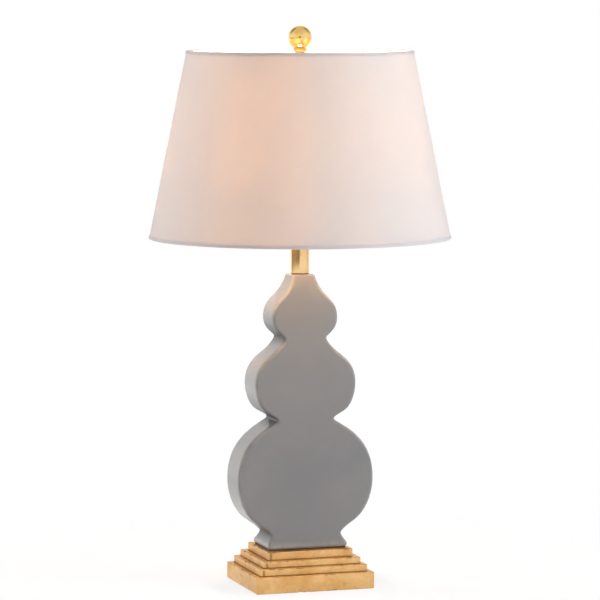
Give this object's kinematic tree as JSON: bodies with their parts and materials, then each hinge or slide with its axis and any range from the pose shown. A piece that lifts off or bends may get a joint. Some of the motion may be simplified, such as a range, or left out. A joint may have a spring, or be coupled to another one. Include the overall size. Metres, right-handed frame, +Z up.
{
  "type": "table lamp",
  "caption": "Table lamp: flat lobed gourd body of glazed ceramic on a stepped gilded plinth, brass neck, harp, tapered cloth shade and ball finial.",
  "frame": {"origin": "on the table, under the lamp's axis, in the middle of the four pads", "axes": "+Z up along the lamp's axis, -Y towards the flat front of the gourd, +X to the lamp's right"},
  "size_m": [0.4063, 0.4064, 0.7547],
  "materials": {
    "gilded_resin": "cast resin under worn gold leaf, satin",
    "board": "hardboard, raw",
    "felt": "dark felt",
    "dark_rubber": "matt",
    "grey_glaze": "glossy warm grey glaze",
    "zinc_steel": "zinc plated",
    "steel": "plain",
    "polished_brass": "polished, lacquered",
    "brass_plate": "brass plated, satin",
    "gilded_brass": "polished gold plate",
    "liner_paper": "pressed fibre",
    "black_plastic": "moulded",
    "aluminium": "rolled",
    "black_glass": "dark glass",
    "frosted_glass": "inside frosted",
    "clear_glass": "clear",
    "white_enamel": "white enamel",
    "shade_sheet": "translucent white sheet",
    "linen": "plain woven linen, off-white"
  },
  "bodies": {
    "lamp_base": {"plinth": "gilded_resin", "bottom_cover": "board", "cover_screws": "steel", "base_pads": "felt", "cord_bush": "black_plastic", "seat_gasket": "dark_rubber", "gourd_body": "grey_glaze", "lamp_pipe": "zinc_steel", "base_washer": "zinc_steel", "base_nut": "zinc_steel", "neck_pad": "dark_rubber", "neck_ring": "steel", "neck_tube": "polished_brass", "neck_cap": "polished_brass", "harp_saddle": "brass_plate", "socket_cap": "brass_plate", "cap_set_screw": "steel", "socket_shell": "brass_plate", "shell_liner": "liner_paper", "socket_block": "black_plastic", "terminal_screws": "steel", "screw_shell": "aluminium", "centre_contact": "brass_plate"},
    "switch": {"switch_stem": "steel", "switch_knob": "black_plastic"},
    "bulb_foot": {"bulb_tip": "steel"},
    "bulb": {"bulb_insulator": "black_glass", "bulb_cap": "aluminium", "bulb_glass": "frosted_glass", "bulb_stem": "clear_glass", "bulb_filament": "steel"},
    "harp": {"harp": "brass_plate"},
    "left_sleeve": {"sleeve_left": "brass_plate"},
    "right_sleeve": {"sleeve_right": "brass_plate"},
    "shade": {"swivel_stud": "steel", "spider_hub": "white_enamel", "spider_arms": "white_enamel", "top_ring": "white_enamel", "bottom_ring": "white_enamel", "shade_liner": "shade_sheet", "shade_cloth": "linen", "top_trim": "linen", "bottom_trim": "linen"},
    "finial_foot": {"finial_washer": "brass_plate"},
    "finial": {"finial_collar": "gilded_brass", "finial_ball": "gilded_brass"}
  },
  "joints": [
    {"name": "switch_turn", "type": "hinge", "parent": "lamp_base", "child": "switch", "pos_m": [0, -0.03, 0.5096], "axis": [0, -1, 0], "continuous": true},
    {"name": "bulb_lift", "type": "slide", "parent": "lamp_base", "child": "bulb_foot", "axis": [0, 0, 1], "range_m": [0, 0.0255]},
    {"name": "bulb_turn", "type": "hinge", "parent": "bulb_foot", "child": "bulb", "pos_m": [0, 0, 0.55], "axis": [0, 0, 1], "range_deg": [0, 2520]},
    {"name": "harp_lift", "type": "slide", "parent": "lamp_base", "child": "harp", "axis": [0, 0, 1], "range_m": [0, 0.012]},
    {"name": "left_sleeve_slide", "type": "slide", "parent": "harp", "child": "left_sleeve", "axis": [0, 0, 1], "range_m": [0, 0.0105]},
    {"name": "right_sleeve_slide", "type": "slide", "parent": "harp", "child": "right_sleeve", "axis": [0, 0, 1], "range_m": [0, 0.0105]},
    {"name": "shade_turn", "type": "hinge", "parent": "harp", "child": "shade", "pos_m": [0, 0, 0.7051], "axis": [0, 0, 1], "continuous": true},
    {"name": "finial_lift", "type": "slide", "parent": "shade", "child": "finial_foot", "axis": [0, 0, 1], "range_m": [0, 0.0095]},
    {"name": "finial_turn", "type": "hinge", "parent": "finial_foot", "child": "finial", "pos_m": [0, 0, 0.7089], "axis": [0, 0, 1], "range_deg": [0, 3600]}
  ],
  "couplings": [
    {"joint": "bulb_lift", "follows": "bulb_turn", "m_per_rad": 0.00057751},
    {"joint": "finial_lift", "follows": "finial_turn", "m_per_rad": 0.00014972}
  ]
}
